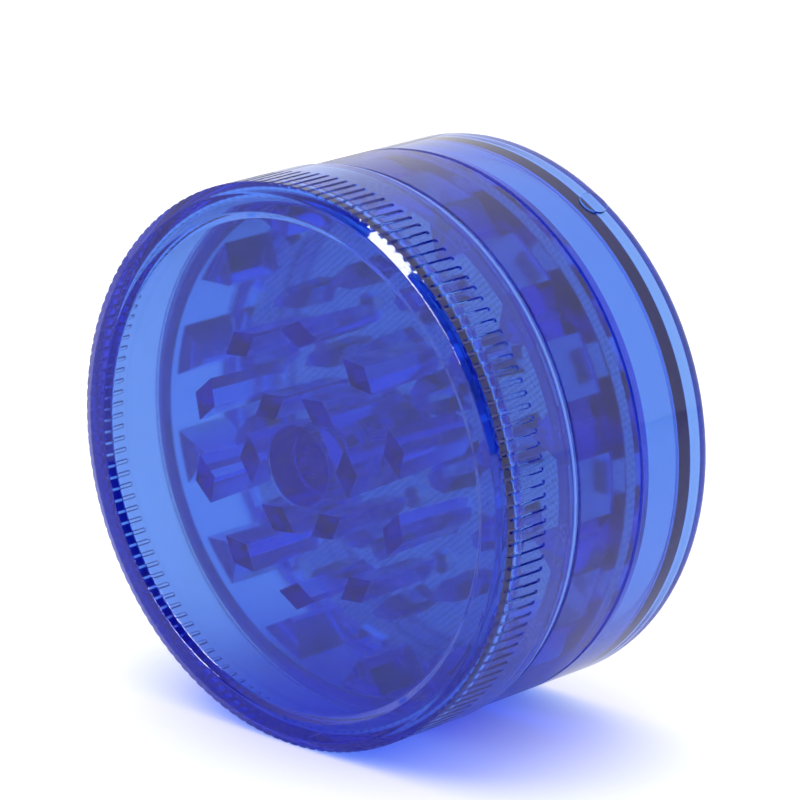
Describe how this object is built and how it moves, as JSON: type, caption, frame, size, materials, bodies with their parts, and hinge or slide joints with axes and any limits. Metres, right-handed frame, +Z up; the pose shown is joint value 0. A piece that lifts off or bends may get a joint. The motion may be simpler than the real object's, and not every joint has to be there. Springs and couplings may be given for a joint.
{
  "type": "hand twist grinder",
  "caption": "Round hand-held twist grinder in clear blue plastic, with a knurled lid, interleaved diamond teeth, a steel sieve and a screw-on catch cup.",
  "frame": {"origin": "centre of the foot ring, on the table under the base", "axes": "+Z up along the turning axis, from the base to the lid; +X through the middle of a gap between two wall teeth"},
  "size_m": [0.06, 0.06, 0.0323],
  "materials": {
    "blue_acrylic": "clear gloss",
    "steel_mesh": "woven wire"
  },
  "bodies": {
    "base": {"base": "blue_acrylic"},
    "sieve": {"sieve": "steel_mesh"},
    "chamber": {"chamber": "blue_acrylic"},
    "slip_ring": {"slip_ring": "blue_acrylic"},
    "lid": {"lid": "blue_acrylic"}
  },
  "joints": [
    {"name": "unscrew", "type": "hinge", "parent": "base", "child": "sieve", "pos_m": [0, 0, 0.0092], "axis": [0, 0, 1], "range_deg": [0, 360]},
    {"name": "thread_rise", "type": "slide", "parent": "sieve", "child": "chamber", "axis": [0, 0, 1], "range_m": [0, 0.0046]},
    {"name": "lid_spin", "type": "hinge", "parent": "chamber", "child": "slip_ring", "pos_m": [0, 0, 0.0209], "axis": [0, 0, 1], "continuous": true},
    {"name": "lid_lift", "type": "slide", "parent": "slip_ring", "child": "lid", "axis": [0, 0, 1], "range_m": [0, 0.014]}
  ],
  "couplings": [
    {"joint": "thread_rise", "follows": "unscrew", "m_per_rad": 0.000716}
  ]
}
